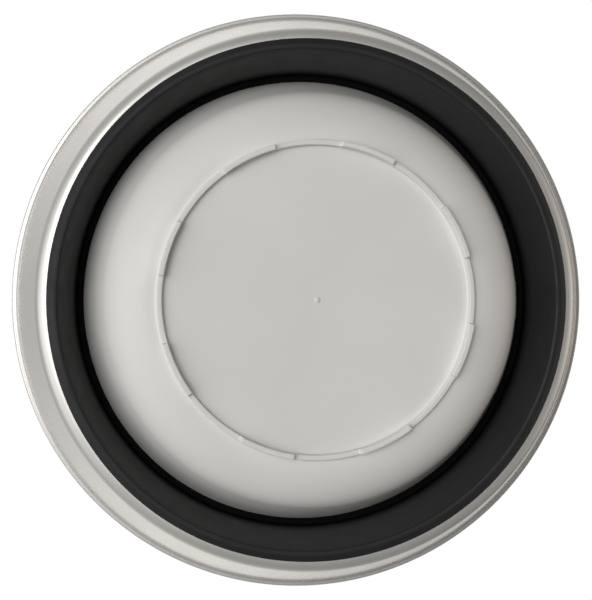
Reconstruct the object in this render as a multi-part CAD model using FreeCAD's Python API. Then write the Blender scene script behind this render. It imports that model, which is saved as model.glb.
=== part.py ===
import FreeCAD, Part
import math
import os

from FreeCAD import Placement, Rotation, Vector

# A folding mini washer, standing on its feet with its wall folded down. Millimetres.
# Origin: centre of the circle of feet, on the surface it stands on. +Z is up, and the
# button side is -Y.

os.makedirs("parts", exist_ok=True)

# ---------------------------------------------------------------- driving dimensions

# base bowl
base_top_radius = 113.5        # outside of the bowl at its top edge
base_top_z = 58.0              # height of that edge
base_draft = 16.7              # lean of the bowl's side, degrees
base_corner_radius = 25.0      # large outside rounding between side and bottom
shell_wall = 2.6

# feet: a thin ring under the bowl that carries short taller arcs
foot_height = 3.0
foot_ring_height = 3.0
foot_ring_radius = 77.2
foot_ring_wall = 2.6
foot_count = 8
foot_span = 20.5               # degrees
foot_first_angle = 19.0        # degrees
gate_mark_radius = 1.5

# folding silicone wall
silicone_wall = 1.8
bead_height = 2.0
bead_overhang = 3.5            # how far the bead stands outside the bowl's edge
fold_flare = 5.8               # how far the folded wall leans out on its way down
crest_z = 24.0                 # lowest line of the folded wall
band_width = 4.8               # flat band between the crest and the rim
band_rise = 1.6
sliding_gap = 0.4              # between moving rings

# rim
rim_over_crest = 2.0           # rim's lower edge above the fold's lowest line
rim_over_base = 4.6            # underside of the lip above the bowl's edge
rim_wall = 2.4
rim_flare = 17.2
rim_shoulder = 3.8
lip_width = 2.4
lip_height = 2.4
collar_height = 7.0
lip_round = 0.9

# lid
lid_skirt_gap = 0.3
lid_skirt_wall = 2.0
lid_lift_gap = 1.2             # finger gap between skirt and lip
lid_rise = 4.0                 # from the frame's outer to its inner edge
lid_plate = 2.4
lid_ring_width = 36.0          # white ring around the window
gasket_height = 1.5
window_thickness = 2.2
window_crown = 1.1
window_flange = 6.0
knob_height = 15.0
knob_radius = 16.0
knob_waist_radius = 12.0
lid_lift = 60.0                # how far the lid is lifted off

# tub floor and what turns on it
tub_depth = 10.0               # from the bowl's edge down to the tub's floor
tub_floor_thickness = 2.6
tub_recess_radius = 78.0
pan_flange_height = 2.5
pulsator_edge_gap = 4.0        # between the pulsator and the recess it turns in
pulsator_thickness = 3.0
pulsator_under_gap = 3.2       # over the floor, above the screw heads
vane_count = 5
vane_width = 6.0
shaft_radius = 4.0
running_gap = 0.03

# drive
out_module = 1.25
out_teeth = 48
small_teeth = 14
in_module = 1.0
large_teeth = 38
pinion_teeth = 12
gearbox_depth = 16.4           # from the tub floor's underside to the gearbox's own
large_gear_lift = 3.5          # above the gearbox's underside
large_gear_face = 4.0
out_gear_lift = 8.5
out_gear_face = 4.0
gear_case_plate = 2.5
gear_case_wall = 2.0
gear_cover = 2.0
motor_radius = 18.0
motor_height = 19.0
motor_shaft_radius = 1.6
motor_seat_gap = 0.5           # between the motor and the bosses beside it
bush_wall = 2.0
idler_pin_radius = 2.0

# screws
screw_radius = 1.5
screw_head_radius = 3.0
screw_head_height = 2.0
screw_hole_gap = 0.2
base_screw_count = 6
base_screw_circle = 67.5
base_screw_length = 20.0
base_screw_first_angle = 30.0  # degrees
boss_radius = 4.5

# controls in the bowl's side
control_z = 36.0
button_radius = 6.7
button_gap = 0.3
button_travel = 1.2
sleeve_wall = 1.0
bezel_margin = 1.5             # of the bezel outside its sleeve
bezel_flange = 1.2
inlet_angle = 30.0             # degrees around from the button
inlet_radius = 5.2
inlet_bore_radius = 2.75
lens_angle = 8.6               # degrees around from the button, the other way
lens_radius = 1.5
board_depth = 12.4             # from the bowl's outside to the board's front
board_thickness = 1.6
board_half_width = 22.0
board_low = -12.0
board_high = 6.0
flush_step = 0.1               # controls stand this far proud of the bowl

# ---------------------------------------------------------------- worked-out sizes

draft = math.radians(base_draft)
floor_z = foot_height + foot_ring_height
inner_floor_z = floor_z + shell_wall
side_thickness = shell_wall / math.cos(draft)

bead_radius = base_top_radius + bead_overhang
bead_in = base_top_radius - side_thickness
pan_flange_z = base_top_z + bead_height
pan_top_z = pan_flange_z + pan_flange_height
panel_top_in = bead_radius + sliding_gap
panel_low_in = panel_top_in + fold_flare
panel_low_out = panel_low_in + silicone_wall
fold_height = base_top_z - crest_z
unfold_travel = 2 * fold_height
band_in = panel_low_out + sliding_gap
band_out = band_in + band_width
rim_low_out = band_out + 0.2
rim_top_out = rim_low_out + rim_flare
rim_lower_z = crest_z + rim_over_crest
rim_top_z = base_top_z + rim_over_base
rim_side_height = rim_top_z - rim_lower_z
lip_top_z = rim_top_z + lip_height
lip_radius = rim_top_out + lip_width
rim_slope = math.atan2(rim_flare, rim_side_height)
rim_side_thickness = rim_wall / math.cos(rim_slope)
collar_top_z = lip_top_z + collar_height
collar_in = rim_top_out - rim_side_thickness
collar_out = rim_top_out - 0.3
tub_floor_z = base_top_z - tub_depth
floor_under_z = tub_floor_z - tub_floor_thickness
gear_case_z = floor_under_z - gearbox_depth
large_gear_z = gear_case_z + large_gear_lift
out_gear_z = gear_case_z + out_gear_lift
pulsator_radius = tub_recess_radius - pulsator_edge_gap
beyond = 300.0                 # past the whole machine, for cuts that go right through


def side_radius(z):
    """Outside radius of the bowl's side at height z."""
    return base_top_radius - (base_top_z - z) * math.tan(draft)


def rim_radius(z):
    """Outside radius of the rim's side at height z."""
    return rim_low_out + (z - rim_lower_z) * math.tan(rim_slope)


# ---------------------------------------------------------------- making shapes

def turned(outline):
    """Solid of revolution about Z. The outline holds (r, z) points, and ("arc", mid, end)."""
    edges = []
    first = Vector(outline[0][0], 0, outline[0][1])
    here = first
    for item in outline[1:]:
        if item[0] == "arc":
            middle = Vector(item[1][0], 0, item[1][1])
            there = Vector(item[2][0], 0, item[2][1])
            edges.append(Part.Arc(here, middle, there).toShape())
        else:
            there = Vector(item[0], 0, item[1])
            edges.append(Part.LineSegment(here, there).toShape())
        here = there
    edges.append(Part.LineSegment(here, first).toShape())
    face = Part.Face(Part.Wire(edges))
    solid = face.revolve(Vector(0, 0, 0), Vector(0, 0, 1), 360)
    if solid.Volume < 0:
        solid.reverse()
    return solid


def disc(radius, low, high, x=0.0, y=0.0):
    return Part.makeCylinder(radius, high - low, Vector(x, y, low))


def ring(outer, inner, low, high, x=0.0, y=0.0):
    return disc(outer, low, high, x, y).cut(disc(inner, low - 1, high + 1, x, y))


def block(x0, x1, y0, y1, z0, z1):
    return Part.makeBox(x1 - x0, y1 - y0, z1 - z0, Vector(x0, y0, z0))


def fused(shapes):
    whole = shapes[0]
    if len(shapes) > 1:
        whole = shapes[0].fuse(shapes[1:])
    return whole.removeSplitter()


def around(count, first_angle=0.0):
    """Angles in degrees, evenly spaced."""
    return [first_angle + k * 360.0 / count for k in range(count)]


def at_angle(radius, degrees):
    a = math.radians(degrees)
    return radius * math.cos(a), radius * math.sin(a)


def round_rings(shape, wanted):
    """Fillets the full circles about Z whose radius and height are listed: (r, z, fillet)."""
    for radius, height, fillet in wanted:
        edges = []
        for edge in shape.Edges:
            box = edge.BoundBox
            flat = abs(box.ZMin - height) < 0.02 and abs(box.ZMax - height) < 0.02
            if flat and abs(box.XMax - radius) < 0.02 and abs(box.YMax - radius) < 0.02:
                edges.append(edge)
        shape = shape.makeFillet(fillet, edges)
    return shape


def save(name, shape):
    solids = shape.Solids
    whole = solids[0] if len(solids) == 1 else Part.makeCompound(solids)
    whole.exportStep("parts/" + name + ".step")
    if not whole.isValid() or min(s.Volume for s in solids) <= 0:
        print("PROBLEM in", name)
    print("%-22s %2d solid(s) %9.0f mm3" % (name, len(solids), whole.Volume))


def screw(x, y, head_low, tip, down=True):
    """Pan-head screw along Z. Its head sits on head_low and its tip is at height tip."""
    if down:
        head = disc(screw_head_radius, head_low, head_low + screw_head_height, x, y)
        slot = disc(1.1, head_low + 0.9, head_low + screw_head_height + 1, x, y)
        shank = disc(screw_radius, tip, head_low, x, y)
    else:
        head = disc(screw_head_radius, head_low - screw_head_height, head_low, x, y)
        slot = disc(1.1, head_low - screw_head_height - 1, head_low - 0.9, x, y)
        shank = disc(screw_radius, head_low, tip, x, y)
    return fused([head, shank]).cut(slot)


# ---------------------------------------------------------------- places on the bowl's side

def on_side(degrees):
    """Placement on the bowl's side: local Z points straight out of the wall."""
    a = math.radians(degrees)
    out = Vector(math.cos(a), math.sin(a), 0)
    normal = out * math.cos(draft) - Vector(0, 0, 1) * math.sin(draft)
    up = out * math.sin(draft) + Vector(0, 0, 1) * math.cos(draft)
    across = up.cross(normal)
    spot = out * side_radius(control_z) + Vector(0, 0, control_z)
    return Placement(spot, Rotation(across, up, normal, "ZXY"))


def put(shape, degrees):
    moved = shape.copy()
    moved.Placement = on_side(degrees).multiply(moved.Placement)
    return moved


button_side = -90.0
inlet_side = button_side + inlet_angle
lens_side = button_side - lens_angle
sleeve_radius = button_radius + button_gap + sleeve_wall
bezel_radius = sleeve_radius + bezel_margin
sleeve_end = -4.5
switch_top = -board_depth + 3.5
board_back = -board_depth - board_thickness
board_post_x = 17.0
base_screw_tip = tub_floor_z - base_screw_length
board_post_y = -8.0

# ---------------------------------------------------------------- base bowl


def bowl_outline(inset):
    """Half section of the bowl, pulled in by inset from its outside."""
    corner = base_corner_radius
    side_run = (base_top_z - floor_z - corner + corner * math.sin(draft)) / math.cos(draft)
    flat = base_top_radius - corner * math.cos(draft) - side_run * math.sin(draft)
    radius = corner - inset
    centre_z = floor_z + corner
    middle = math.radians((-90.0 - base_draft) / 2.0)
    mid = (flat + radius * math.cos(middle), centre_z + radius * math.sin(middle))
    end = (flat + radius * math.cos(draft), centre_z - radius * math.sin(draft))
    top = (base_top_radius - inset / math.cos(draft), base_top_z)
    return [(0.0, floor_z + inset), (flat, floor_z + inset), ("arc", mid, end), top]


def filled_bowl(inset):
    return turned(bowl_outline(inset) + [(0.0, base_top_z)])


def foot_arc(degrees):
    """One raised arc of the ring of feet."""
    tall = ring(foot_ring_radius, foot_ring_radius - foot_ring_wall, 0.0, floor_z + 0.5)
    wedge = Part.makeCylinder(
        foot_ring_radius + 5, floor_z + 2, Vector(0, 0, -1), Vector(0, 0, 1), foot_span
    )
    wedge.rotate(Vector(0, 0, 0), Vector(0, 0, 1), degrees - foot_span / 2)
    return tall.common(wedge)


def base_shell():
    outside = filled_bowl(0.0)
    shell = outside.cut(filled_bowl(shell_wall))
    low_ring = ring(
        foot_ring_radius, foot_ring_radius - foot_ring_wall, foot_height, floor_z + 0.5
    )
    parts = [shell, low_ring]
    parts += [foot_arc(a) for a in around(foot_count, foot_first_angle)]
    parts.append(disc(gate_mark_radius, floor_z - 0.3, floor_z + 0.5))
    for angle in around(base_screw_count, base_screw_first_angle):
        x, y = at_angle(base_screw_circle, angle)
        parts.append(disc(boss_radius, floor_z + 1, floor_under_z, x, y).common(outside))
    for side in (-1, 1):
        post = Part.makeCylinder(
            3.0, board_depth - 2.5, Vector(side * board_post_x, board_post_y, -board_depth)
        )
        parts.append(put(post, button_side))
    body = fused(parts)
    cuts = []
    for angle in around(base_screw_count, base_screw_first_angle):
        x, y = at_angle(base_screw_circle, angle)
        cuts.append(disc(screw_radius + 0.02, base_screw_tip - 2, floor_under_z + 1, x, y))
    spot_low = -bezel_flange
    cuts.append(put(disc(bezel_radius + 0.1, spot_low, 5), button_side))
    cuts.append(put(disc(sleeve_radius + 0.1, -5, 5), button_side))
    cuts.append(put(disc(inlet_radius + 1.4, spot_low, 5), inlet_side))
    cuts.append(put(disc(inlet_radius + 0.1, -6, 5), inlet_side))
    cuts.append(put(disc(lens_radius + 0.1, -6, 5), lens_side))
    for side in (-1, 1):
        pilot = Part.makeCylinder(
            screw_radius + 0.02, 7, Vector(side * board_post_x, board_post_y, -board_depth - 1)
        )
        cuts.append(put(pilot, button_side))
    for cut in cuts:
        body = body.cut(cut)
    return body


# ---------------------------------------------------------------- controls

def button_bezel():
    flange = ring(bezel_radius, button_radius + button_gap, -bezel_flange, flush_step)
    sleeve = ring(sleeve_radius, button_radius + button_gap, sleeve_end, -bezel_flange)
    return put(fused([flange, sleeve]), button_side)


def button_cap():
    top = flush_step - 0.4
    dish = Part.makeSphere(30.0, Vector(0, 0, top + 29.6))
    cap = disc(button_radius, -6.6, top).cut(dish)
    collar = disc(button_radius + 0.9, -6.6, sleeve_end - 0.3)
    stem = disc(2.0, -7.2, -6.6)
    return put(fused([cap, collar, stem]), button_side)


def switch_plunger():
    return put(disc(1.7, switch_top - 2.0, -7.2), button_side)


def tact_switch():
    body = block(-3, 3, -3, 3, -board_depth, switch_top)
    bore = disc(1.9, -board_depth + 0.2, switch_top + 1)
    return put(body.cut(bore), button_side)


def control_board():
    board = block(
        -board_half_width, board_half_width, board_low, board_high, board_back, -board_depth
    )
    for side in (-1, 1):
        board = board.cut(
            disc(screw_radius + screw_hole_gap, board_back - 1, -board_depth + 1,
                 side * board_post_x, board_post_y)
        )
    return put(board, button_side)


def board_parts():
    """Capacitor, driver chip and two lead sockets on the back of the board."""
    low = board_back
    capacitor = disc(3.2, low - 8.0, low, 6.0, -6.0)
    chip = block(-5, 1, -3, 3, low - 1.6, low)
    sockets = [block(x - 4, x + 4, -10.5, -6.5, low - 5.0, low) for x in (-9.0, 16.0)]
    sockets[1] = block(11, 19, 0.5, 4.5, low - 5.0, low)
    return put(Part.makeCompound([capacitor, chip] + sockets), button_side)


def board_screws():
    screws = []
    for side in (-1, 1):
        head = disc(2.8, board_back - 1.8, board_back, side * board_post_x, board_post_y)
        shank = disc(
            screw_radius, board_back, -board_depth + 5.5, side * board_post_x, board_post_y
        )
        screws.append(put(fused([head, shank]), button_side))
    return Part.makeCompound(screws)


def inlet_socket():
    flange = disc(inlet_radius + 1.3, -bezel_flange, flush_step)
    body = disc(inlet_radius, -12.0, -bezel_flange)
    bore = disc(inlet_bore_radius, -10.0, 1.0)
    pin_hole = disc(1.0, -13.0, -9.0)
    return put(fused([flange, body]).cut(bore).cut(pin_hole), inlet_side)


def inlet_pin():
    return put(disc(1.0, -14.0, -2.5), inlet_side)


def indicator_lens():
    lens = disc(lens_radius, -side_thickness - 0.4, flush_step)
    foot = disc(lens_radius + 1.0, -side_thickness - 1.2, -side_thickness - 0.4)
    return put(fused([lens, foot]), lens_side)


# ---------------------------------------------------------------- tub floor

bush_out = shaft_radius + running_gap + bush_wall
seal_out = shaft_radius + 4.0
boss_top_z = tub_floor_z + 7.0
boss_low_z = floor_under_z - 2.6
gear_boss_offset = 4.5
gear_boss_low_z = gear_case_z + 6.0
ear_screw_tip = floor_under_z - 2.9


def gear_centres():
    """Centres of the output gear, the idler and the motor pinion."""
    idler_y = out_module * (out_teeth + small_teeth) / 2
    motor_x = in_module * (large_teeth + pinion_teeth) / 2
    return (0.0, 0.0), (0.0, idler_y), (motor_x, idler_y)


def gear_case_discs():
    """The three overlapping rounds of the gearbox's outline: x, y, inside radius."""
    out, idler, motor = gear_centres()
    out_room = out_module * (out_teeth / 2 + 1) + 1.8
    idler_room = in_module * (large_teeth / 2 + 1) + 1.5
    return [
        (out[0], out[1], out_room),
        (idler[0], idler[1], idler_room),
        (motor[0], motor[1], motor_radius - 1.5),
    ]


def ear_spots():
    """Screw ears around the gearbox: x, y, and the centre of the round they stand on."""
    out, idler, motor = gear_case_discs()
    reach = out[2] + gear_case_wall + gear_boss_offset
    spots = []
    for angle in (180.0, 270.0, 0.0):
        x, y = at_angle(reach, angle)
        spots.append((x, y, out[0], out[1]))
    x, y = at_angle(idler[2] + gear_case_wall + gear_boss_offset, 137.0)
    spots.append((idler[0] + x, idler[1] + y, idler[0], idler[1]))
    return spots


def tub_pan():
    spigot_out = base_top_radius - side_thickness - 0.5
    spigot_low = base_top_z - 2.5
    spigot_out -= (base_top_z - spigot_low) * math.tan(draft)
    thick = tub_floor_thickness
    outline = [
        (0.0, floor_under_z),
        (tub_recess_radius, floor_under_z),
        (spigot_out - 5.0, spigot_low - 4.0),
        (spigot_out, spigot_low),
        (spigot_out, pan_flange_z),
        (bead_radius, pan_flange_z),
        (bead_radius, pan_top_z),
        (spigot_out - thick, pan_top_z),
        (spigot_out - thick - 4.6, spigot_low - 0.4),
        (tub_recess_radius - 0.6, tub_floor_z),
        (0.0, tub_floor_z),
    ]
    pan = round_rings(turned(outline), [(bead_radius, pan_top_z, 1.0)])
    parts = [pan, disc(seal_out + 2.0, floor_under_z + 1, boss_top_z)]
    parts.append(disc(bush_out + 2.4, boss_low_z, floor_under_z + 1))
    for x, y, _cx, _cy in ear_spots():
        parts.append(disc(boss_radius - 0.3, gear_boss_low_z, floor_under_z + 1, x, y))
    body = fused(parts)
    body = body.cut(disc(bush_out, boss_low_z - 1, tub_floor_z + 3.0))
    body = body.cut(disc(seal_out, tub_floor_z + 2.5, boss_top_z + 1))
    for x, y, _cx, _cy in ear_spots():
        body = body.cut(disc(screw_radius + 0.02, gear_boss_low_z - 1, ear_screw_tip + 0.5, x, y))
    for angle in around(base_screw_count, base_screw_first_angle):
        x, y = at_angle(base_screw_circle, angle)
        body = body.cut(disc(screw_radius + screw_hole_gap, floor_under_z - 1, beyond, x, y))
        body = body.cut(disc(screw_head_radius + 0.4, tub_floor_z - 1.2, beyond, x, y))
    return body


def base_screws():
    screws = []
    for angle in around(base_screw_count, base_screw_first_angle):
        x, y = at_angle(base_screw_circle, angle)
        screws.append(screw(x, y, tub_floor_z, base_screw_tip))
    return Part.makeCompound(screws)


def base_screw_seals():
    seals = []
    for angle in around(base_screw_count, base_screw_first_angle):
        x, y = at_angle(base_screw_circle, angle)
        seals.append(
            ring(screw_head_radius + 0.3, screw_radius + 0.1, tub_floor_z - 1.2, tub_floor_z, x, y)
        )
    return Part.makeCompound(seals)


def upper_bush():
    return ring(bush_out, shaft_radius + running_gap, boss_low_z + 0.2, tub_floor_z + 2.4)


def shaft_seal():
    """Lip seal on the shaft, with a groove on top for its spring."""
    body = ring(seal_out, shaft_radius + 0.05, tub_floor_z + 2.5, boss_top_z - 0.5)
    groove = ring(seal_out - 1.6, shaft_radius + 1.0, boss_top_z - 2.0, boss_top_z)
    return body.cut(groove)


# ---------------------------------------------------------------- gears and gearbox

pressure_angle = math.radians(20.0)
addendum = 0.8
dedendum = 1.15
backlash = 0.12


def gear(module, teeth, low, high, x, y, toward, tooth_there):
    """Spur gear. The tooth, or the gap, that faces angle toward is centred on it."""
    pitch = module * teeth / 2
    base = pitch * math.cos(pressure_angle)
    tip = pitch + addendum * module
    root = pitch - dedendum * module
    half_tooth = (math.pi * module / 2 - backlash) / (2 * pitch)
    start = max(base, root + 0.05)

    def lag(radius):
        """Half angle of the tooth at this radius."""
        roll = math.sqrt(max((radius / base) ** 2 - 1, 0.0))
        roll_pitch = math.sqrt((pitch / base) ** 2 - 1)
        here = roll - math.atan(roll)
        there = roll_pitch - math.atan(roll_pitch)
        return half_tooth + there - here

    flank = [start + (tip - start) * k / 4 for k in range(5)]
    shift = 0.0 if tooth_there else math.pi / teeth
    points = []
    for k in range(teeth):
        centre = toward + shift + 2 * math.pi * k / teeth
        points.append((root, centre - lag(start) - 0.01))
        points += [(r, centre - lag(r)) for r in flank]
        points += [(r, centre + lag(r)) for r in reversed(flank)]
        points.append((root, centre + lag(start) + 0.01))
    corners = [Vector(x + r * math.cos(a), y + r * math.sin(a), low) for r, a in points]
    face = Part.Face(Part.makePolygon(corners + [corners[0]]))
    return face.extrude(Vector(0, 0, high - low))


def output_gear():
    teeth = gear(
        out_module, out_teeth, out_gear_z, out_gear_z + out_gear_face, 0, 0, math.pi / 2, True
    )
    hub = disc(shaft_radius + 4.0, large_gear_z + 1.0, out_gear_z + 1.0)
    bore = disc(shaft_radius, 0, beyond)
    body = fused([teeth, hub]).cut(bore)
    for angle in around(6, 30.0):
        x, y = at_angle(18.5, angle)
        body = body.cut(disc(5.0, out_gear_z - 1, out_gear_z + out_gear_face + 1, x, y))
    return body


def idler_gear():
    _out, idler, _motor = gear_centres()
    large = gear(
        in_module, large_teeth, large_gear_z, large_gear_z + large_gear_face,
        idler[0], idler[1], 0.0, True,
    )
    small = gear(
        out_module, small_teeth, large_gear_z + large_gear_face, out_gear_z + out_gear_face + 0.5,
        idler[0], idler[1], -math.pi / 2, False,
    )
    bore = disc(idler_pin_radius + running_gap, 0, beyond, *idler)
    return fused([large, small]).cut(bore)


def motor_pinion():
    _out, _idler, motor = gear_centres()
    teeth = gear(
        in_module, pinion_teeth, large_gear_z, large_gear_z + large_gear_face + 1.0,
        motor[0], motor[1], math.pi, False,
    )
    return teeth.cut(disc(motor_shaft_radius, 0, beyond, *motor))


def outline_discs(grow, low, high):
    return fused([disc(r + grow, low, high, x, y) for x, y, r in gear_case_discs()])


gear_case_top = floor_under_z - gear_cover


def gearbox_housing():
    _out, idler, motor = gear_centres()
    parts = [outline_discs(gear_case_wall, gear_case_z, gear_case_top)]
    parts.append(disc(bush_out + 2.5, gear_case_z - 4.0, gear_case_z + 1))
    parts.append(disc(idler_pin_radius + 3.0, gear_case_z - 2.0, gear_case_z + 1, *idler))
    for x, y, cx, cy in ear_spots():
        parts.append(disc(boss_radius, gear_case_z + 1.5, gear_boss_low_z, x, y))
        away = math.hypot(x - cx, y - cy)
        web = block(0, away, -boss_radius, boss_radius, gear_case_z + 1.5, gear_boss_low_z)
        web.rotate(Vector(0, 0, 0), Vector(0, 0, 1), math.degrees(math.atan2(y - cy, x - cx)))
        web.translate(Vector(cx, cy, 0))
        parts.append(web)
    body = fused(parts)
    inside_low = gear_case_z + gear_case_plate
    body = body.cut(outline_discs(0.0, inside_low, gear_case_top + 1))
    body = fused([body, disc(idler_pin_radius + 2.0, inside_low - 1, large_gear_z - 0.2, *idler)])
    body = body.cut(disc(bush_out, gear_case_z - 2.5, beyond))
    body = body.cut(disc(idler_pin_radius, gear_case_z - 1.0, beyond, *idler))
    body = body.cut(disc(5.1, gear_case_z - 1, inside_low + 1, *motor))
    body = body.cut(disc(motor_radius + motor_seat_gap, 0, gear_case_z, *motor))
    for side in (-1, 1):
        body = body.cut(
            disc(1.4, gear_case_z - 1, inside_low + 1, motor[0], motor[1] + side * 12.5)
        )
    for x, y, _cx, _cy in ear_spots():
        body = body.cut(disc(screw_radius + screw_hole_gap, 0, gear_boss_low_z + 1, x, y))
    return body


def gearbox_cover():
    _out, idler, _motor = gear_centres()
    plate = outline_discs(gear_case_wall, gear_case_top, floor_under_z)
    plate = plate.cut(disc(bush_out + 2.8, 0, beyond))
    return plate.cut(disc(idler_pin_radius, 0, beyond, *idler))


def gearbox_screws():
    low = gear_case_z + 1.5
    return Part.makeCompound([screw(x, y, low, ear_screw_tip, down=False) for x, y, _a, _b in ear_spots()])


def lower_bush():
    return ring(bush_out, shaft_radius + running_gap, gear_case_z - 2.5, large_gear_z + 0.8)


def idler_pin():
    _out, idler, _motor = gear_centres()
    return disc(idler_pin_radius, gear_case_z - 1.0, floor_under_z - 0.2, *idler)


# ---------------------------------------------------------------- motor

motor_low_z = gear_case_z - motor_height


def motor_can():
    _out, _idler, motor = gear_centres()
    can = disc(motor_radius, motor_low_z, gear_case_z - 1.5, *motor)
    can = can.cut(disc(motor_radius - 1.0, motor_low_z + 1.0, gear_case_z, *motor))
    can = fused([can, disc(5.0, motor_low_z - 0.8, motor_low_z + 2.0, *motor)])
    return can.cut(disc(motor_shaft_radius + running_gap, 0, beyond, *motor))


def motor_front_plate():
    _out, _idler, motor = gear_centres()
    plate = disc(motor_radius, gear_case_z - 1.5, gear_case_z, *motor)
    plate = fused([plate, disc(5.0, gear_case_z - 0.5, gear_case_z + 2.3, *motor)])
    plate = plate.cut(disc(motor_shaft_radius + running_gap, 0, beyond, *motor))
    for side in (-1, 1):
        plate = plate.cut(disc(1.27, 0, beyond, motor[0], motor[1] + side * 12.5))
    return plate


def motor_screws():
    _out, _idler, motor = gear_centres()
    top = gear_case_z + gear_case_plate
    screws = []
    for side in (-1, 1):
        y = motor[1] + side * 12.5
        head = disc(2.3, top, top + 1.7, motor[0], y)
        shank = disc(1.25, gear_case_z - 1.4, top, motor[0], y)
        screws.append(fused([head, shank]))
    return Part.makeCompound(screws)


def motor_magnet():
    _out, _idler, motor = gear_centres()
    return ring(motor_radius - 1.1, motor_radius - 3.6, motor_low_z + 2.5,
                gear_case_z - 3.0, *motor)


def armature():
    _out, _idler, motor = gear_centres()
    core = disc(motor_radius - 4.1, motor_low_z + 3.5, gear_case_z - 4.0, *motor)
    for angle in around(5):
        slot = block(6.0, motor_radius, -1.2, 1.2, 0, beyond)
        slot.rotate(Vector(0, 0, 0), Vector(0, 0, 1), angle)
        slot.translate(Vector(motor[0], motor[1], 0))
        core = core.cut(slot)
    return core.cut(disc(motor_shaft_radius, 0, beyond, *motor))


def motor_shaft():
    _out, _idler, motor = gear_centres()
    top = large_gear_z + large_gear_face + 1.4
    return disc(motor_shaft_radius, motor_low_z - 0.4, top, *motor)


# ---------------------------------------------------------------- pulsator

pulsator_low_z = tub_floor_z + pulsator_under_gap
hub_top_z = tub_floor_z + 16.5
shaft_top_z = tub_floor_z + 15.0
cap_bore = shaft_radius + 1.2


def output_shaft():
    top = disc(shaft_radius, gear_case_z - 2.0, shaft_top_z)
    return top.cut(disc(screw_radius + 0.02, shaft_top_z - 9.0, shaft_top_z + 1))


def pulsator():
    edge = pulsator_low_z
    thick = pulsator_thickness
    outline = [
        (shaft_radius, boss_top_z + 1.3),
        (seal_out + 3.3, boss_top_z + 1.3),
        (20.0, edge + 4.4),
        (40.0, edge + 1.2),
        (pulsator_radius, edge),
        (pulsator_radius, edge + thick - 1.0),
        (pulsator_radius - 1.2, edge + thick),
        (40.0, edge + 1.4 + thick),
        (20.0, edge + 5.2 + thick),
        (12.5, hub_top_z - 1.0),
        (11.5, hub_top_z),
        (cap_bore, hub_top_z),
        (cap_bore, shaft_top_z),
        (shaft_radius, shaft_top_z),
    ]
    plate = turned(outline)
    roof = turned([
        (0.0, edge + 1.0),
        (pulsator_radius - 4.0, edge + 1.0),
        (pulsator_radius - 5.0, edge + thick + 3.5),
        (pulsator_radius - 9.0, edge + thick + 6.0),
        (30.0, edge + thick + 8.5),
        (12.0, hub_top_z),
        (0.0, hub_top_z),
    ])
    keep_out = disc(10.0, 0, beyond)
    vanes = []
    for angle in around(vane_count, 90.0):
        vane = block(8.0, pulsator_radius, -vane_width / 2, vane_width / 2, edge + 2.2, beyond)
        vane.rotate(Vector(0, 0, 0), Vector(0, 0, 1), angle)
        vanes.append(vane.common(roof).cut(keep_out))
    under = turned([
        (0.0, 0.0),
        (pulsator_radius + 1, 0.0),
        (pulsator_radius + 1, edge + 0.2),
        (40.0, edge + 1.5),
        (20.0, edge + 5.0),
        (seal_out + 3.3, boss_top_z + 1.8),
        (0.0, boss_top_z + 1.8),
    ])
    return fused([plate] + [v.cut(under) for v in vanes])


def pulsator_screw():
    head = disc(cap_bore - 1.0, shaft_top_z, shaft_top_z + 1.4)
    shank = disc(screw_radius, shaft_top_z - 8.5, shaft_top_z)
    return fused([head, shank])


def pulsator_cap():
    plug = disc(cap_bore - 0.2, shaft_top_z + 1.45, hub_top_z + 0.5)
    top = disc(8.5, hub_top_z, hub_top_z + 2.6)
    top = round_rings(top, [(8.5, hub_top_z + 2.6, 1.6)])
    return fused([plug, top])


# ---------------------------------------------------------------- folding wall

def bellows_base_bead():
    outline = [
        (bead_in, base_top_z),
        (bead_radius, base_top_z),
        (bead_radius, pan_flange_z),
        (bead_in, pan_flange_z),
    ]
    return turned(outline)


def bellows_wall():
    top = base_top_z + 1.0
    low = crest_z + 0.2
    return turned([
        (panel_top_in, top),
        (panel_low_in, low + 0.8),
        ("arc", (panel_low_in + silicone_wall / 2, low), (panel_low_out, low + 0.8)),
        (panel_top_in + silicone_wall, top),
    ])


def bellows_rim_band():
    """Band under the rim, wrapped around the rim's shoulder."""
    shoulder_in = rim_low_out - rim_shoulder
    shoulder_top = rim_lower_z + rim_wall
    return turned([
        (band_in, crest_z),
        (band_out, crest_z + band_rise),
        (band_out, rim_lower_z),
        (shoulder_in, rim_lower_z),
        (shoulder_in, shoulder_top),
        (shoulder_in + 1.6, shoulder_top),
        (shoulder_in + 1.6, shoulder_top + 1.6),
        (band_in, shoulder_top + 1.6),
    ])


# ---------------------------------------------------------------- rim

def rim_shell():
    shoulder_top = rim_lower_z + rim_wall
    inside = rim_radius(shoulder_top) - rim_side_thickness
    outline = [
        (rim_low_out - rim_shoulder, rim_lower_z),
        (rim_low_out, rim_lower_z),
        (rim_top_out, rim_top_z),
        (lip_radius, rim_top_z),
        (lip_radius, lip_top_z),
        (collar_out, lip_top_z),
        (collar_out, collar_top_z),
        (collar_in, collar_top_z),
        (collar_in, rim_top_z),
        (inside, shoulder_top),
        (rim_low_out - rim_shoulder, shoulder_top),
    ]
    return round_rings(turned(outline), [
        (lip_radius, rim_top_z, lip_round),
        (lip_radius, lip_top_z, lip_round),
        (collar_out, collar_top_z, 0.6),
        (collar_in, collar_top_z, 0.6),
        (rim_low_out, rim_lower_z, 0.5),
    ])


# ---------------------------------------------------------------- lid

lid_under_z = collar_top_z + gasket_height
skirt_in = collar_out + lid_skirt_gap
skirt_out = skirt_in + lid_skirt_wall
lid_hole = skirt_out - lid_ring_width
lid_top_in_z = lid_under_z + lid_rise + lid_plate
window_top_z = lid_top_in_z + 0.2
knob_low_z = window_top_z + window_crown


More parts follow.
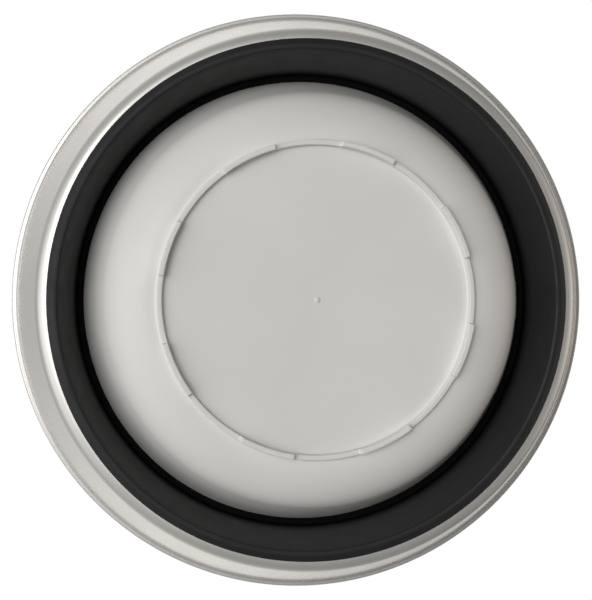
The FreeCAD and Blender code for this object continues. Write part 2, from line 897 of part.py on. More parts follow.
def lid_frame():
    skirt_low = lip_top_z + lid_lift_gap
    outline = [
        (skirt_out, skirt_low),
        (skirt_out, lid_under_z + lid_plate - 0.4),
        (skirt_out - 5.0, lid_under_z + lid_plate + 1.0),
        (lid_hole, lid_top_in_z),
        (lid_hole, lid_top_in_z - lid_plate),
        (collar_in - 3.0, lid_under_z + 1.6),
        (collar_in - 3.0, lid_under_z),
        (skirt_in, lid_under_z),
        (skirt_in, skirt_low),
    ]
    return round_rings(turned(outline), [
        (skirt_out, lid_under_z + lid_plate - 0.4, 2.0),
        (skirt_out, skirt_low, 0.6),
        (lid_hole, lid_top_in_z, 0.6),
    ])


def lid_gasket():
    return ring(collar_out, collar_in, collar_top_z, lid_under_z)


def lid_window():
    edge = lid_hole - 0.3
    flange_top = lid_top_in_z - lid_plate - 0.7
    outline = [
        (0.0, window_top_z + window_crown),
        ("arc", (edge / 2, window_top_z + window_crown * 0.75), (edge, window_top_z)),
        (edge, flange_top),
        (edge + window_flange, flange_top),
        (edge + window_flange, flange_top - window_thickness),
        (edge - 3.0, flange_top - window_thickness),
        (edge - 3.0, window_top_z - window_thickness),
        ("arc", (edge / 2, window_top_z + window_crown * 0.75 - window_thickness),
         (0.0, window_top_z + window_crown - window_thickness)),
    ]
    return turned(outline).cut(disc(2.2, 0, beyond))


def lid_knob():
    low = knob_low_z
    top = low + knob_height
    outline = [
        (0.0, low),
        (knob_radius + 3.0, low),
        (knob_radius + 3.0, low + 1.2),
        (knob_waist_radius + 2.0, low + 3.0),
        ("arc", (knob_waist_radius, low + 6.0), (knob_waist_radius + 1.5, low + 9.0)),
        (knob_radius, low + 11.0),
        ("arc", (knob_radius + 0.6, low + 12.6), (knob_radius - 1.2, top - 0.8)),
        ("arc", (knob_radius * 0.7, top - 0.2), (knob_radius * 0.4, top)),
        (0.0, top),
    ]
    return turned(outline).cut(disc(screw_radius + 0.02, low - 1, low + 9.0))


def knob_screw():
    under = window_top_z + window_crown - window_thickness
    return fused([
        disc(screw_head_radius + 0.8, under - 1.6, under),
        disc(screw_radius, under, knob_low_z + 8.5),
    ])


# ---------------------------------------------------------------- write every piece

pieces = [
    base_shell, tub_pan, base_screws, base_screw_seals, bellows_base_bead,
    button_bezel, tact_switch, control_board, board_parts, board_screws,
    inlet_socket, inlet_pin, indicator_lens,
    gearbox_housing, gearbox_cover, gearbox_screws, lower_bush, upper_bush, shaft_seal,
    idler_pin, motor_can, motor_front_plate, motor_screws, motor_magnet,
    armature, motor_shaft, motor_pinion, idler_gear,
    output_shaft, output_gear, pulsator, pulsator_screw, pulsator_cap,
    button_cap, switch_plunger,
    bellows_wall, rim_shell, bellows_rim_band,
    lid_frame, lid_gasket, lid_window, lid_knob, knob_screw,
]

for piece in pieces:
    save(piece.__name__, piece())
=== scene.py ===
import math

import bmesh
import bpy
from mathutils import Matrix, Vector


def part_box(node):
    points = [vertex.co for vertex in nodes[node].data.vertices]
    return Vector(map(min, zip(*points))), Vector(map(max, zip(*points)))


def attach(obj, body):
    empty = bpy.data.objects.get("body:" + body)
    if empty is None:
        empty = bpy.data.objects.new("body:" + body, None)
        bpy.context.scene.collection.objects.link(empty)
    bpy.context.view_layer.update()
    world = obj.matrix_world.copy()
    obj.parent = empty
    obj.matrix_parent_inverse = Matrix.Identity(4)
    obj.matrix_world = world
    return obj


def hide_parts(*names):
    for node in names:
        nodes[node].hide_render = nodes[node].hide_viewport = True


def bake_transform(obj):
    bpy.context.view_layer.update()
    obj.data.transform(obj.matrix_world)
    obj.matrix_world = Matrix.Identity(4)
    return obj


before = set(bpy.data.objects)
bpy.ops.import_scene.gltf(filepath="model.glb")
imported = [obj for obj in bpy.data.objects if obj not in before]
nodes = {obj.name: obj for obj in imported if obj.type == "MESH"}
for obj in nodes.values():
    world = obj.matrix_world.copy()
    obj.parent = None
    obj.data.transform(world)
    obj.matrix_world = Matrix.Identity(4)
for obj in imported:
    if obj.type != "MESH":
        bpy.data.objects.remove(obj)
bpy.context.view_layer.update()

# A folding mini washer, folded flat and seen from underneath. Lengths are in millimetres,
# in the row frame, and become metres when a mesh is made. Noise scales are per metre.

MM = 0.001


def node_box(name):
    """(lowest, highest) corner of a CAD node, in millimetres."""
    low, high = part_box(name)
    return low / MM, high / MM


# ---------------------------------------------------------------- sizes from the frame

shell_high = node_box("base_shell")[1]
bead_low, bead_high = node_box("bellows_base_bead")
wall_high = node_box("bellows_wall")[1]
band_low, band_high = node_box("bellows_rim_band")
rim_low, rim_high = node_box("rim_shell")
disc_low, disc_high = node_box("pulsator")
frame_low, frame_high = node_box("lid_frame")
knob_low, knob_high = node_box("lid_knob")

# bowl; angles in degrees, except DRAFT
BASE_TOP_R = shell_high.x
BASE_TOP_Z = shell_high.z
FLOOR_Z = 6.0
FOOT_Z = 3.0                   # underside of the ring between the feet
SHELL_WALL = 2.6
DRAFT = math.radians(16.7)
CORNER_R = 25.0
FOOT_RING_R = 77.2
FOOT_RING_WALL = 2.6
FOOT_COUNT = 8
FOOT_SPAN = 20.5
FOOT_FIRST = 19.0
FOOT_EASE = 0.5                # over which a foot's end rises
CONTROL_Z = 36.0
GATE_R = 1.5                   # small domed moulding mark
GATE_HIGH = 0.6

# silicone
BEAD_R = bead_high.x
BEAD_Z = bead_low.z
BEAD_HIGH = 1.9
SILICONE = 1.8
CREST_Z = band_low.z
CREST_R = wall_high.x
BAND_R = band_high.x
BAND_GRIP = 1.6                # how thick and high it grips the rim's shoulder
PAINTED_SHADE_FULL_Z = 57.0                  # painted shade: near black above this, standing in for the deep fold's shade
PAINTED_SHADE_START_Z = 47.0               # dusty grey below this; the painted shade fades in above it

# rim
RIM_LOWER_Z = rim_low.z
RIM_TOP_Z = rim_high.z
RIM_SHOULDER = 3.8
RIM_WALL = 2.4
RIM_ROUND = 6.5
LIP_R = rim_high.x
LIP = 2.4                      # width and height
LIP_BELOW_TOP = 9.4            # underside of the lip below the collar's top

# pulsator
DISC_R = disc_high.x
DISC_Z = disc_low.z
DISC_THICK = 3.0
HUB_Z = disc_high.z
HUB_R = 12.5
SHAFT_R = 4.0
CAP_BORE = 5.2
CAP_DEEP = 1.5
VANE_COUNT = 5
VANE_HALF = 3.0
VANE_FILLET = 1.6
VANE_FIRST = 90.0
DISC_STEP = 1.5                # between the disc's turned points

# lid
SKIRT_R = frame_high.x
SKIRT_LOW = frame_low.z
LID_TOP = frame_high.z
LID_RING = 36.0
LID_PLATE = 2.4
LID_UNDER = LID_TOP - 6.4
LID_GAP = 0.3
COLLAR_R = LIP_R - 2.7
KNOB_FOOT = 3.0                # of its foot beyond its grip
KNOB_R = knob_high.x - KNOB_FOOT
KNOB_Z = knob_low.z
KNOB_TOP = knob_high.z

SEGMENTS = 480                 # around a turned piece
SHARP = math.radians(40)       # a steeper edge stays sharp

# ---------------------------------------------------------------- making meshes


def rounded(corners, steps=5):
    """Closed (r, z) outline with its corners rounded. A corner is (r, z) or (r, z, fillet)."""
    outline = []
    count = len(corners)
    for k, corner in enumerate(corners):
        here = Vector(corner[:2])
        if len(corner) < 3:
            outline.append(here)
            continue
        before = (Vector(corners[k - 1][:2]) - here).normalized()
        after = (Vector(corners[(k + 1) % count][:2]) - here).normalized()
        half = before.angle(after) / 2
        reach = corner[2] / math.tan(half)
        centre = here + (before + after).normalized() * (corner[2] / math.sin(half))
        start = here + before * reach - centre
        end = here + after * reach - centre
        turn = start.angle_signed(end)
        for n in range(steps + 1):
            outline.append(centre + Matrix.Rotation(-turn * n / steps, 2) @ start)
    return outline


def lathe(name, outline, angles=None, shift=None):
    """Turned mesh from a closed (r, z) outline in mm. shift(r, z, degrees) may move z."""
    if angles is None:
        angles = [k * 360 / SEGMENTS for k in range(SEGMENTS)]
    bm = bmesh.new()
    columns = []
    poles = {}
    for degrees in angles:
        c, s = math.cos(math.radians(degrees)), math.sin(math.radians(degrees))
        column = []
        for n, (r, z) in enumerate(outline):
            if shift:
                z = shift(r, z, degrees)
            if r < 1e-6:
                if n not in poles:
                    poles[n] = bm.verts.new((0, 0, z * MM))
                column.append(poles[n])
            else:
                column.append(bm.verts.new((r * c * MM, r * s * MM, z * MM)))
        columns.append(column)
    for k, left in enumerate(columns):
        right = columns[(k + 1) % len(columns)]
        for n in range(len(outline)):
            m = (n + 1) % len(outline)
            corners = []
            for vert in (left[n], right[n], right[m], left[m]):
                if vert not in corners:
                    corners.append(vert)
            if len(corners) > 2:
                bm.faces.new(corners)
    bmesh.ops.recalc_face_normals(bm, faces=bm.faces)
    return mesh_object(name, bm)


def mesh_object(name, bm):
    mesh = bpy.data.meshes.new(name)
    bm.to_mesh(mesh)
    bm.free()
    mesh.shade_smooth()
    mesh.set_sharp_from_angle(angle=SHARP)
    obj = bpy.data.objects.new(name, mesh)
    bpy.context.scene.collection.objects.link(obj)
    return obj


# ---------------------------------------------------------------- materials


def new_material(name):
    material = bpy.data.materials.new(name)
    material.use_nodes = True
    tree = material.node_tree
    return material, tree, tree.nodes["Principled BSDF"]


def noise(tree, scale, detail=3.0, roughness=0.5, vector=None):
    node = tree.nodes.new("ShaderNodeTexNoise")
    node.inputs["Scale"].default_value = scale
    node.inputs["Detail"].default_value = detail
    node.inputs["Roughness"].default_value = roughness
    if vector is None:
        coords = tree.nodes.new("ShaderNodeTexCoord")
        vector = coords.outputs["Object"]
    tree.links.new(vector, node.inputs["Vector"])
    return node.outputs["Fac"]


def between(tree, value, low, high, out_low, out_high):
    node = tree.nodes.new("ShaderNodeMapRange")
    node.inputs["From Min"].default_value = low
    node.inputs["From Max"].default_value = high
    node.inputs["To Min"].default_value = out_low
    node.inputs["To Max"].default_value = out_high
    tree.links.new(value, node.inputs["Value"])
    return node.outputs["Result"]


def two_colours(tree, value, first, second):
    node = tree.nodes.new("ShaderNodeMix")
    node.data_type = "RGBA"
    node.inputs["A"].default_value = (*first, 1)
    node.inputs["B"].default_value = (*second, 1)
    tree.links.new(value, node.inputs["Factor"])
    return node.outputs["Result"]


def bump(tree, bsdf, height, strength, distance):
    node = tree.nodes.new("ShaderNodeBump")
    node.inputs["Strength"].default_value = strength
    node.inputs["Distance"].default_value = distance
    tree.links.new(height, node.inputs["Height"])
    tree.links.new(node.outputs["Normal"], bsdf.inputs["Normal"])


def moulded(name, colour, roughness, grain=1500.0, relief=0.00002, spread=0.03, coat=0.0,
            pearl=0.0):
    """Moulded plastic: faint cloudiness, uneven gloss and a fine skin. Pearl flakes mirror."""
    material, tree, bsdf = new_material(name)
    cloud = noise(tree, 18.0)
    darker = [c * (1 - spread) for c in colour]
    tree.links.new(two_colours(tree, between(tree, cloud, 0.35, 0.65, 0, 1), darker, colour),
                   bsdf.inputs["Base Color"])
    patch = noise(tree, 60.0, 2.0)
    tree.links.new(between(tree, patch, 0.3, 0.7, roughness * 0.9, roughness * 1.12),
                   bsdf.inputs["Roughness"])
    bump(tree, bsdf, noise(tree, grain, 2.0), 0.25, relief)
    bsdf.inputs["IOR"].default_value = 1.5
    bsdf.inputs["Metallic"].default_value = pearl
    bsdf.inputs["Coat Weight"].default_value = coat
    bsdf.inputs["Coat Roughness"].default_value = 0.08
    return material


def silicone(name):
    """Silicone rubber: dusty grey lower down, with painted shade near black deep in the fold.
    """
    material, tree, bsdf = new_material(name)
    place = tree.nodes.new("ShaderNodeSeparateXYZ")
    tree.links.new(tree.nodes.new("ShaderNodeTexCoord").outputs["Object"],
                   place.inputs["Vector"])
    # Painted shade: towards the top of the fold the colour turns near black and loses specular
    # and sheen, where the fold's shade falls; the dust noise below is real dust
    out_of_painted_shade = between(tree, place.outputs["Z"], PAINTED_SHADE_FULL_Z * MM, PAINTED_SHADE_START_Z * MM, 0, 1)
    dust = between(tree, noise(tree, 35.0, 5.0, 0.6), 0.35, 0.7, 0, 1)
    grey = two_colours(tree, dust, (0.0068, 0.0073, 0.0078), (0.011, 0.0115, 0.012))
    # the near-black colour here is the painted shade of the deep fold
    colour = tree.nodes.new("ShaderNodeMix")
    colour.data_type = "RGBA"
    colour.inputs["A"].default_value = (0.0012, 0.0012, 0.0013, 1)
    tree.links.new(out_of_painted_shade, colour.inputs["Factor"])
    tree.links.new(grey, colour.inputs["B"])
    tree.links.new(colour.outputs["Result"], bsdf.inputs["Base Color"])
    tree.links.new(between(tree, out_of_painted_shade, 0, 1, 0.08, 0.5), bsdf.inputs["Specular IOR Level"])
    tree.links.new(between(tree, out_of_painted_shade, 0, 1, 0.0, 0.09), bsdf.inputs["Sheen Weight"])
    tree.links.new(between(tree, noise(tree, 90.0), 0.3, 0.7, 0.5, 0.62),
                   bsdf.inputs["Roughness"])
    bump(tree, bsdf, noise(tree, 900.0, 4.0), 0.3, 0.00003)
    bsdf.inputs["IOR"].default_value = 1.42
    bsdf.inputs["Sheen Roughness"].default_value = 0.6
    return material


def metal(name, colour, roughness):
    """Plated or sintered metal: fine streaks round the shaft's axis and uneven gloss."""
    material, tree, bsdf = new_material(name)
    stretch = tree.nodes.new("ShaderNodeMapping")
    stretch.inputs["Scale"].default_value = (1.0, 1.0, 9.0)
    tree.links.new(tree.nodes.new("ShaderNodeTexCoord").outputs["Object"],
                   stretch.inputs["Vector"])
    streaks = noise(tree, 260.0, 4.0, 0.6, stretch.outputs["Vector"])
    worn = [c * 0.8 for c in colour]
    tree.links.new(two_colours(tree, between(tree, streaks, 0.3, 0.7, 0, 1), worn, colour),
                   bsdf.inputs["Base Color"])
    tree.links.new(between(tree, streaks, 0.3, 0.7, roughness * 0.8, roughness * 1.3),
                   bsdf.inputs["Roughness"])
    bump(tree, bsdf, streaks, 0.15, 0.00002)
    bsdf.inputs["Metallic"].default_value = 1.0
    return material


def clear_plastic(name, tint, roughness):
    """Clear moulding with faint scuffs in its gloss."""
    material, tree, bsdf = new_material(name)
    haze = noise(tree, 25.0, 6.0, 0.65)
    dimmer = [c * 0.97 for c in tint]
    tree.links.new(two_colours(tree, between(tree, haze, 0.35, 0.65, 0, 1), dimmer, tint),
                   bsdf.inputs["Base Color"])
    tree.links.new(between(tree, haze, 0.4, 0.8, roughness, roughness + 0.06),
                   bsdf.inputs["Roughness"])
    bsdf.inputs["IOR"].default_value = 1.49
    bsdf.inputs["Transmission Weight"].default_value = 1.0
    return material


base_white = moulded("base_white", (0.80, 0.79, 0.765), 0.42)
rim_white = moulded("rim_white", (0.70, 0.685, 0.655), 0.28, grain=220.0, relief=0.00001,
                    coat=0.4, pearl=0.42)
tub_white = moulded("tub_white", (0.82, 0.82, 0.81), 0.22, coat=0.3)
lid_white = moulded("lid_white", (0.84, 0.84, 0.83), 0.2, coat=0.3)
pulsator_white = moulded("pulsator_white", (0.80, 0.82, 0.83), 0.25, coat=0.2)
control_grey = moulded("control_grey", (0.45, 0.46, 0.47), 0.48, grain=900.0, relief=0.00005)
socket_black = moulded("socket_black", (0.018, 0.018, 0.019), 0.5, grain=700.0,
                       relief=0.00006, spread=0.15)
gear_nylon = moulded("gear_nylon", (0.80, 0.77, 0.68), 0.38, spread=0.06)
board_green = moulded("board_green", (0.015, 0.11, 0.045), 0.3, grain=400.0, spread=0.2,
                      coat=0.5)
magnet_dark = moulded("magnet_dark", (0.055, 0.055, 0.06), 0.7, grain=500.0,
                      relief=0.00008, spread=0.3)
steel = metal("steel", (0.60, 0.60, 0.61), 0.28)
bronze = metal("bronze", (0.60, 0.42, 0.20), 0.36)
window_clear = clear_plastic("window_clear", (0.93, 0.96, 0.97), 0.03)
lens_clear = clear_plastic("lens_clear", (0.85, 0.93, 0.97), 0.3)
black_silicone = silicone("black_silicone")


def dress(obj, material):
    obj.data.materials.clear()
    obj.data.materials.append(material)
    return obj


# ---------------------------------------------------------------- base bowl


def bowl_line(inset, steps=24):
    """Points from the flat bottom up the side of the bowl, inset from its outside."""
    side = (BASE_TOP_Z - FLOOR_Z - CORNER_R * (1 - math.sin(DRAFT))) / math.cos(DRAFT)
    flat = BASE_TOP_R - CORNER_R * math.cos(DRAFT) - side * math.sin(DRAFT)
    line = []
    for n in range(steps + 1):
        a = -math.pi / 2 + (math.pi / 2 - DRAFT) * n / steps
        line.append((flat + (CORNER_R - inset) * math.cos(a),
                     FLOOR_Z + CORNER_R + (CORNER_R - inset) * math.sin(a)))
    line.append((BASE_TOP_R - inset / math.cos(DRAFT), BASE_TOP_Z))
    return line


def bowl_outline():
    """Moulding mark, flat bottom, ring under it, side, and back along the inside."""
    outer_ring = FOOT_RING_R
    inner_ring = FOOT_RING_R - FOOT_RING_WALL
    line = []
    for n in range(6):
        a = n * math.pi / 10
        line.append((GATE_R * math.sin(a), FLOOR_Z - GATE_HIGH * math.cos(a)))
    line.append((30.0, FLOOR_Z))
    foot = rounded([
        (inner_ring - 4.0, FLOOR_Z),
        (inner_ring, FLOOR_Z, 0.8),
        (inner_ring, FOOT_Z, 0.5),
        (outer_ring, FOOT_Z, 0.5),
        (outer_ring, FLOOR_Z, 0.8),
        (outer_ring + 1.0, FLOOR_Z),
    ])
    line += [tuple(p) for p in foot] + bowl_line(0.0)
    line += list(reversed(bowl_line(SHELL_WALL))) + [(0.0, FLOOR_Z + SHELL_WALL)]
    return line


def foot_angles():
    """Even angles, with extra ones where each foot's ends rise."""
    wanted = [k * 360 / SEGMENTS for k in range(SEGMENTS)]
    for k in range(FOOT_COUNT):
        centre = FOOT_FIRST + k * 360 / FOOT_COUNT
        for side in (-1, 1):
            end = centre + side * FOOT_SPAN / 2
            wanted = [a for a in wanted if abs((a - end + 180) % 360 - 180) > 0.5]
            wanted += [(end + d) % 360 for d in (-0.45, -0.2, 0.0, 0.2, 0.45)]
    return sorted(wanted)


def foot_drop(r, z, degrees):
    """The ring of feet reaches lower inside each foot's arc."""
    if z > FOOT_Z + 0.7 or r < FOOT_RING_R - FOOT_RING_WALL - 1:
        return z
    pitch = 360 / FOOT_COUNT
    off = abs((degrees - FOOT_FIRST + pitch / 2) % pitch - pitch / 2) - FOOT_SPAN / 2
    inside = min(max(0.5 - off / FOOT_EASE, 0.0), 1.0)
    return z - FOOT_Z * inside * inside * (3 - 2 * inside)


def on_side(degrees):
    """Matrix on the bowl's side whose Z points straight out of the wall."""
    a = math.radians(degrees)
    out = Vector((math.cos(a), math.sin(a), 0))
    up = Vector((0, 0, 1))
    normal = out * math.cos(DRAFT) - up * math.sin(DRAFT)
    along = out * math.sin(DRAFT) + up * math.cos(DRAFT)
    across = along.cross(normal)
    radius = BASE_TOP_R - (BASE_TOP_Z - CONTROL_Z) * math.tan(DRAFT)
    spot = (out * radius + up * CONTROL_Z) * MM
    turn = Matrix((across, along, normal)).transposed().to_4x4()
    return Matrix.Translation(spot) @ turn


def pierce(obj, holes):
    """Cuts round holes in the bowl's side: (degrees, radius, from, to) in mm."""
    for degrees, radius, low, high in holes:
        bm = bmesh.new()
        bmesh.ops.create_cone(bm, cap_ends=True, segments=64, radius1=radius * MM,
                              radius2=radius * MM, depth=(high - low) * MM)
        bm.transform(on_side(degrees) @ Matrix.Translation((0, 0, (low + high) / 2 * MM)))
        cutter = mesh_object("cutter", bm)
        modifier = obj.modifiers.new("hole", "BOOLEAN")
        modifier.operation = "DIFFERENCE"
        modifier.solver = "EXACT"
        modifier.object = cutter
        bpy.context.view_layer.update()
        cut = bpy.data.meshes.new_from_object(obj.evaluated_get(
            bpy.context.evaluated_depsgraph_get()))
        obj.modifiers.clear()
        obj.data = cut
        bpy.data.objects.remove(cutter)
    obj.data.shade_smooth()
    obj.data.set_sharp_from_angle(angle=SHARP)


bowl = lathe("bowl", bowl_outline(), foot_angles(), foot_drop)
THROUGH, SEAT, BEYOND = -6.0, -1.2, 5.0
BUTTON_AT, INLET_AT, LAMP_AT = -90.0, -60.0, -98.6
pierce(bowl, [
    (BUTTON_AT, 9.6, SEAT, BEYOND), (BUTTON_AT, 8.1, THROUGH, BEYOND),
    (INLET_AT, 6.6, SEAT, BEYOND), (INLET_AT, 5.3, THROUGH, BEYOND),
    (LAMP_AT, 1.6, THROUGH, BEYOND),
])
dress(bowl, base_white)
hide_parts("base_shell")
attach(bowl, "base")

# ---------------------------------------------------------------- silicone folding wall


def folding_wall():
    """The bead on the bowl's edge and the wall that hangs from it, folded down."""
    inner_top = BEAD_R + 0.4
    inner_low = CREST_R - SILICONE
    clamped = BASE_TOP_R - 2.7
    inside = [
        (clamped, BEAD_Z),
        (inner_top - 0.3, BEAD_Z, 1.2),
        (inner_top + 0.8, BEAD_Z - 8.0, 12.0),
        (inner_low - 1.2, CREST_Z + 9.0, 30.0),
        (inner_low + 0.6, CREST_Z + 2.2),
    ]
    outside = [
        (CREST_R, CREST_Z + 2.2),
        (CREST_R - 0.6, CREST_Z + 9.0, 30.0),
        (inner_top + 0.8 + SILICONE, BEAD_Z - 8.0, 12.0),
        (inner_top + SILICONE - 0.2, BEAD_Z + BEAD_HIGH, 1.6),
        (clamped, BEAD_Z + BEAD_HIGH),
    ]
    return rounded(inside + outside)


def rim_band():
    """Crest of the fold, the flat band beside it and the grip around the rim's shoulder."""
    shoulder = BAND_R + 0.2 - RIM_SHOULDER
    over = RIM_LOWER_Z + RIM_WALL
    return rounded([
        (CREST_R - SILICONE + 0.5, CREST_Z + 3.4),
        (CREST_R - 0.5, CREST_Z, 1.6),
        (CREST_R + 2.2, CREST_Z + 0.1, 1.2),
        (BAND_R, RIM_LOWER_Z - 0.35, 0.3),
        (BAND_R, RIM_LOWER_Z),
        (shoulder, RIM_LOWER_Z),
        (shoulder, over),
        (shoulder + BAND_GRIP, over),
        (shoulder + BAND_GRIP, over + BAND_GRIP, 0.6),
        (CREST_R + 0.5, over + BAND_GRIP, 0.6),
        (CREST_R + 0.5, CREST_Z + 3.4),
    ])


wall = lathe("silicone_wall", folding_wall())
dress(wall, black_silicone)
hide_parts("bellows_base_bead", "bellows_wall")
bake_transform(wall)
band = lathe("silicone_band", rim_band())
dress(band, black_silicone)
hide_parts("bellows_rim_band")
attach(band, "rim")

# ---------------------------------------------------------------- rim


def rim_outline():
    """Shoulder, large lower rounding, flared side, lip and collar."""
    low_r = BAND_R + 0.2
    side_low = low_r + RIM_ROUND * math.tan(math.radians(33))
    top_r = LIP_R - LIP
    lip_z = RIM_TOP_Z - LIP_BELOW_TOP
    thick = 2.66
    return rounded([
        (low_r - RIM_SHOULDER, RIM_LOWER_Z),
        (side_low, RIM_LOWER_Z, RIM_ROUND),
        (top_r, lip_z, 1.2),
        (LIP_R, lip_z, 0.9),
        (LIP_R, lip_z + LIP, 0.9),
        (top_r - 0.3, lip_z + LIP, 0.4),
        (top_r - 0.3, RIM_TOP_Z, 0.7),
        (top_r - thick, RIM_TOP_Z, 0.7),
        (top_r - thick, lip_z),
        (side_low + 1.1 - thick, RIM_LOWER_Z + RIM_WALL, 0.8),
        (low_r - RIM_SHOULDER, RIM_LOWER_Z + RIM_WALL),
    ], 12)


rim = lathe("rim_moulding", rim_outline())
dress(rim, rim_white)
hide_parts("rim_shell")
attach(rim, "rim")

# ---------------------------------------------------------------- pulsator


def along(points, r):
    """Height at radius r on a line through (r, z) points, eased at each point."""
    for (r0, z0), (r1, z1) in zip(points, points[1:]):
        if r <= r1:
            t = min(max((r - r0) / (r1 - r0), 0.0), 1.0)
            return z0 + (z1 - z0) * (t + t * t * (3 - 2 * t)) / 2
    return points[-1][1]


DISC_TOP = [(HUB_R, HUB_Z - 1.0), (20.0, DISC_Z + 8.2), (40.0, DISC_Z + 4.4),
            (DISC_R - 1.2, DISC_Z + DISC_THICK)]
VANE_TOP = [(12.0, HUB_Z), (30.0, DISC_Z + 11.5), (DISC_R - 9.0, DISC_Z + 9.0),
            (DISC_R - 5.0, DISC_Z + 6.5), (DISC_R - 3.6, DISC_Z + 2.8)]


def pulsator_outline():
    """Underside, rounded edge, top up to the hub, and the bore for shaft and cap."""
    under = [(SHAFT_R, DISC_Z + 5.3), (16.0, DISC_Z + 5.3), (20.0, DISC_Z + 4.4),
             (40.0, DISC_Z + 1.2)]
    edge = rounded([(DISC_R, DISC_Z, 0.4), (DISC_R, DISC_Z + DISC_THICK, 1.2),
                    (DISC_R - 2.0, DISC_Z + DISC_THICK + 0.1)])
    top = []
    r = DISC_R - 3.0
    while r > HUB_R:
        top.append((r, along(DISC_TOP, r)))
        r -= DISC_STEP
    hub = [(HUB_R, HUB_Z - 1.0), (HUB_R - 0.3, HUB_Z - 0.4), (HUB_R - 1.0, HUB_Z),
           (CAP_BORE, HUB_Z), (CAP_BORE, HUB_Z - CAP_DEEP), (SHAFT_R, HUB_Z - CAP_DEEP)]
    return under + [tuple(p) for p in edge] + top + hub


def vane_rise(r, z, degrees):
    """The vanes stand on the top of the disc, with a fillet along each side."""
    if r < HUB_R or r > DISC_R - 3.4 or z < along(DISC_TOP, r) - 0.5:
        return z
    pitch = 360 / VANE_COUNT
    turn = math.radians((degrees - VANE_FIRST + pitch / 2) % pitch - pitch / 2)
    beside = (abs(r * math.sin(turn)) - VANE_HALF + VANE_FILLET) / (2 * VANE_FILLET)
    part = 1.0 - min(max(beside, 0.0), 1.0)
    return z + max(along(VANE_TOP, r) - z, 0.0) * part * part * (3 - 2 * part)


pulsator = lathe("pulsator_moulding", pulsator_outline(),
                 [k / 2 for k in range(720)], vane_rise)
dress(pulsator, pulsator_white)
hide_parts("pulsator")
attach(pulsator, "pulsator")

# ---------------------------------------------------------------- lid ring and its knob


def lid_ring_outline():
    """Skirt, softly crowned top with a shallow channel, and a bead around the window."""
    hole = SKIRT_R - LID_RING
    skirt_in = COLLAR_R + LID_GAP
    return rounded([
        (SKIRT_R, SKIRT_LOW, 0.7),
        (SKIRT_R, LID_UNDER + 2.0, 2.6),
        (SKIRT_R - 5.0, LID_UNDER + 3.4, 3.0),
        (hole + 13.0, LID_TOP - 1.0, 3.0),
        (hole + 12.0, LID_TOP - 1.5, 0.6),
        (hole + 8.0, LID_TOP - 1.2, 0.6),
        (hole + 6.6, LID_TOP - 0.2, 0.8),
        (hole, LID_TOP, 0.9),
        (hole, LID_TOP - LID_PLATE),
        (COLLAR_R - 5.7, LID_UNDER + 1.6),
        (COLLAR_R - 5.7, LID_UNDER),
        (skirt_in, LID_UNDER),
        (skirt_in, SKIRT_LOW, 0.6),
    ])


lid_ring = lathe("lid_ring", lid_ring_outline())
dress(lid_ring, lid_white)
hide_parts("lid_frame")
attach(lid_ring, "lid")


def knob_outline():
    """Foot, waist, and a grip with a shallow dish in its top."""
    waist = KNOB_R - 4.0
    return rounded([
        (0.0, KNOB_Z),
        (KNOB_R + KNOB_FOOT, KNOB_Z),
        (KNOB_R + KNOB_FOOT, KNOB_Z + 1.2, 0.5),
        (waist, KNOB_Z + 3.0, 3.0),
        (waist, KNOB_Z + 9.0, 2.5),
        (KNOB_R + 0.5, KNOB_Z + 11.4, 1.0),
        (KNOB_R + 0.4, KNOB_TOP - 1.2, 1.6),
        (KNOB_R * 0.62, KNOB_TOP, 3.0),
        (KNOB_R * 0.5, KNOB_TOP - 1.0, 2.0),
        (0.0, KNOB_TOP - 1.3),
    ], 8)


knob = lathe("knob_moulding", knob_outline(), [k * 2.5 for k in range(144)])
dress(knob, lid_white)
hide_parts("lid_knob")
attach(knob, "lid")

# ---------------------------------------------------------------- CAD nodes that stay

FINISH = {
    tub_white: ["tub_pan"],
    window_clear: ["lid_window"],
    pulsator_white: ["pulsator_cap"],
    control_grey: ["button_bezel", "button_cap"],
    lens_clear: ["indicator_lens"],
    socket_black: ["inlet_socket", "gearbox_housing", "gearbox_cover", "tact_switch",
                   "board_parts"],
    board_green: ["control_board"],
    gear_nylon: ["output_gear", "idler_gear"],
    steel: ["base_screws", "board_screws", "gearbox_screws", "motor_screws",
            "pulsator_screw", "knob_screw", "idler_pin", "motor_can", "motor_front_plate",
            "armature", "motor_shaft", "output_shaft", "switch_plunger", "inlet_pin"],
    bronze: ["lower_bush", "upper_bush", "motor_pinion"],
    magnet_dark: ["motor_magnet"],
    black_silicone: ["base_screw_seals", "shaft_seal", "lid_gasket"],
}
for material, names in FINISH.items():
    for name in names:
        dress(nodes[name], material)

# ---------------------------------------------------------------- floor, light, camera

# The floor shows from above only, so that the camera can look up through it.
FLOOR_HALF = 2.0               # metres
floor_mesh = bpy.data.meshes.new("floor")
floor_mesh.from_pydata(
    [(x * FLOOR_HALF, y * FLOOR_HALF, 0) for x, y in ((-1, -1), (1, -1), (1, 1), (-1, 1))],
    [], [(0, 1, 2, 3)])
floor = bpy.data.objects.new("floor", floor_mesh)
bpy.context.scene.collection.objects.link(floor)
material, tree, bsdf = new_material("floor_pale")
bsdf.inputs["Base Color"].default_value = (0.86, 0.86, 0.86, 1)
bsdf.inputs["Roughness"].default_value = 0.7
side = tree.nodes.new("ShaderNodeNewGeometry")
clear = tree.nodes.new("ShaderNodeBsdfTransparent")
mix = tree.nodes.new("ShaderNodeMixShader")
tree.links.new(side.outputs["Backfacing"], mix.inputs["Fac"])
tree.links.new(bsdf.outputs["BSDF"], mix.inputs[1])
tree.links.new(clear.outputs["BSDF"], mix.inputs[2])
tree.links.new(mix.outputs["Shader"], tree.nodes["Material Output"].inputs["Surface"])
floor_mesh.materials.append(material)
for kind in ("shadow", "diffuse", "glossy", "transmission"):
    setattr(floor, "visible_" + kind, False)

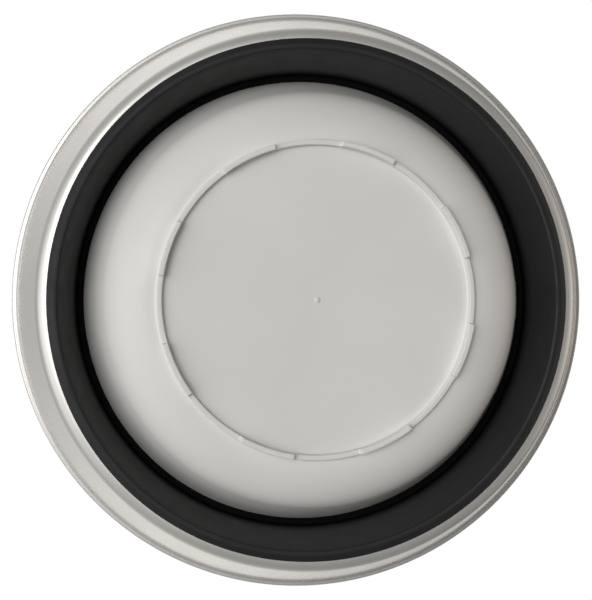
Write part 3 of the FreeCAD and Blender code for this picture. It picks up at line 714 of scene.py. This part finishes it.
world = bpy.data.worlds.new("studio")
bpy.context.scene.world = world
world.use_nodes = True
sky = world.node_tree
background = sky.nodes["Background"]


def math_node(operation, first, second=None):
    """Result of a math node in the world's nodes, from numbers or sockets."""
    node = sky.nodes.new("ShaderNodeMath")
    node.operation = operation
    for socket, value in zip(node.inputs, (first, second)):
        if isinstance(value, (int, float)):
            socket.default_value = value
        elif value is not None:
            sky.links.new(value, socket)
    return node.outputs[0]


def glow(direction, sharpness):
    """Soft round patch of light in that direction: 1 at its middle."""
    dot = sky.nodes.new("ShaderNodeVectorMath")
    dot.operation = "DOT_PRODUCT"
    dot.inputs[1].default_value = Vector(direction).normalized()
    sky.links.new(view_direction, dot.inputs[0])
    return math_node("EXPONENT", math_node("MULTIPLY", math_node(
        "SUBTRACT", dot.outputs["Value"], 1.0), sharpness))


def studio(ambient, glows):
    """World light: an even colour plus glows (direction, sharpness, strength, colour)."""
    total = None
    for direction, sharpness, strength, colour in glows:
        scaled = sky.nodes.new("ShaderNodeVectorMath")
        scaled.operation = "SCALE"
        scaled.inputs[0].default_value = [strength * c for c in colour]
        sky.links.new(glow(direction, sharpness), scaled.inputs["Scale"])
        add = sky.nodes.new("ShaderNodeVectorMath")
        add.operation = "ADD"
        if total is None:
            add.inputs[0].default_value = ambient
        else:
            sky.links.new(total, add.inputs[0])
        sky.links.new(scaled.outputs["Vector"], add.inputs[1])
        total = add.outputs["Vector"]
    sky.links.new(total, background.inputs["Color"])


coords = sky.nodes.new("ShaderNodeTexCoord")
view_direction = coords.outputs["Generated"]
studio((0.02, 0.02, 0.02), [
    ((-0.12, 0.36, -0.93), 35.0, 6.4, (1.0, 0.99, 0.975)),
    ((-0.16, 0.50, -0.85), 9.0, 0.8, (1.0, 0.99, 0.975)),
    ((0.12, 0.86, -0.50), 9.0, 1.75, (1.0, 1.0, 1.0)),
    ((0.00, -1.00, 0.00), 9.0, 1.15, (1.0, 0.92, 0.83)),
    ((-0.68, 0.20, 0.70), 6.0, 1.05, (1.0, 0.97, 0.93)),
    ((0.68, 0.20, 0.70), 6.0, 0.95, (1.0, 0.97, 0.92)),
    ((0.00, 0.00, 1.00), 14.0, 2.2, (1.0, 1.0, 1.0)),
])
white = sky.nodes.new("ShaderNodeBackground")
white.inputs["Color"].default_value = (1, 1, 1, 1)
path = sky.nodes.new("ShaderNodeLightPath")
mix = sky.nodes.new("ShaderNodeMixShader")
sky.links.new(path.outputs["Is Camera Ray"], mix.inputs["Fac"])
sky.links.new(background.outputs["Background"], mix.inputs[1])
sky.links.new(white.outputs["Background"], mix.inputs[2])
sky.links.new(mix.outputs["Shader"], sky.nodes["World Output"].inputs["Surface"])

# The camera looks up at the underside, tilted towards +Y. Image right is -Y.
LENS = 79.8
SENSOR = 36.0
TILT = math.radians(7.0)
DISTANCE = 0.7                 # metres, as are the next two
AIM_OFFSET = 0.00337
AIM_Z = 0.065
camera_data = bpy.data.cameras.new("camera")
camera_data.lens = LENS
camera_data.sensor_width = SENSOR
camera = bpy.data.objects.new("camera", camera_data)
bpy.context.scene.collection.objects.link(camera)
centre = Vector((0, 0, AIM_Z))
camera.location = centre + DISTANCE * Vector((0, math.sin(TILT), -math.cos(TILT)))
back = (camera.location - (centre + Vector((0, AIM_OFFSET, 0)))).normalized()
right = Vector((-1, 0, 0)).cross(back).normalized()
camera.matrix_world = Matrix.Translation(camera.location) @ Matrix(
    (right, back.cross(right), back)).transposed().to_4x4()
bpy.context.scene.camera = camera
bpy.context.scene.view_settings.view_transform = "Standard"
